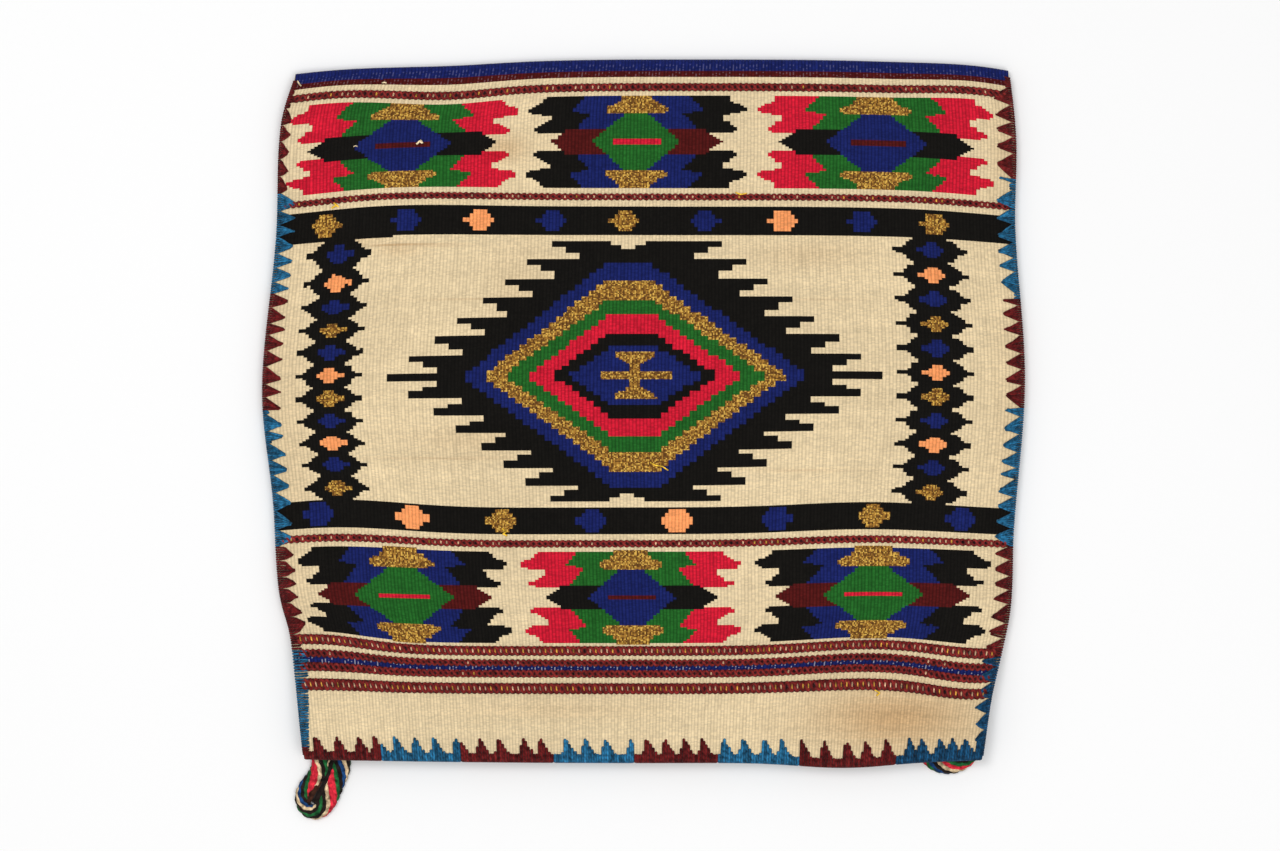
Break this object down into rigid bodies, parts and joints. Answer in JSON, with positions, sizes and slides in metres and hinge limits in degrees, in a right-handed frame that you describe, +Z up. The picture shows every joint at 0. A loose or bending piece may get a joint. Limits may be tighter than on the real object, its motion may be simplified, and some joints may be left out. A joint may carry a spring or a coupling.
{
  "type": "kilim bag",
  "caption": "Flat-woven kilim pouch folded from one cloth, with overcast side seams, an open blanket-stitched mouth and braided loops at the mouth corners, lying on its back.",
  "frame": {"origin": "on the ground, under the middle of the bag's bounding box", "axes": "+Z up out of the patterned front leaf, +Y towards the fold, -Y out of the open mouth, +X to the right when the front is seen from above"},
  "size_m": [0.4344, 0.4322, 0.0148],
  "materials": {
    "kilim_wool": "matte hand-woven wool, cream ground with black, navy, red, green, maroon, orange and gold yarn",
    "maroon_yarn": "matte twisted wool yarn",
    "blue_yarn": "matte twisted wool yarn",
    "braid": "matte braid of red, green, black, blue and cream wool"
  },
  "bodies": {
    "root": {"kilim_cloth": "kilim_wool", "left_seam_yarn_1": "maroon_yarn", "left_seam_yarn_2": "blue_yarn", "left_seam_yarn_3": "maroon_yarn", "left_seam_yarn_4": "blue_yarn", "left_seam_yarn_5": "maroon_yarn", "left_seam_yarn_6": "blue_yarn", "right_seam_yarn_1": "maroon_yarn", "right_seam_yarn_2": "blue_yarn", "right_seam_yarn_3": "maroon_yarn", "right_seam_yarn_4": "blue_yarn", "right_seam_yarn_5": "maroon_yarn", "right_seam_yarn_6": "blue_yarn", "front_rim_yarn_1": "maroon_yarn", "front_rim_yarn_2": "blue_yarn", "front_rim_yarn_3": "maroon_yarn", "front_rim_yarn_4": "blue_yarn", "front_rim_yarn_5": "maroon_yarn", "front_rim_yarn_6": "blue_yarn", "front_rim_yarn_7": "maroon_yarn", "front_rim_yarn_8": "blue_yarn", "back_rim_yarn_1": "maroon_yarn", "back_rim_yarn_2": "blue_yarn", "back_rim_yarn_3": "maroon_yarn", "back_rim_yarn_4": "blue_yarn", "back_rim_yarn_5": "maroon_yarn", "back_rim_yarn_6": "blue_yarn", "back_rim_yarn_7": "maroon_yarn", "back_rim_yarn_8": "blue_yarn", "left_loop": "braid", "right_loop": "braid"}
  },
  "joints": []
}
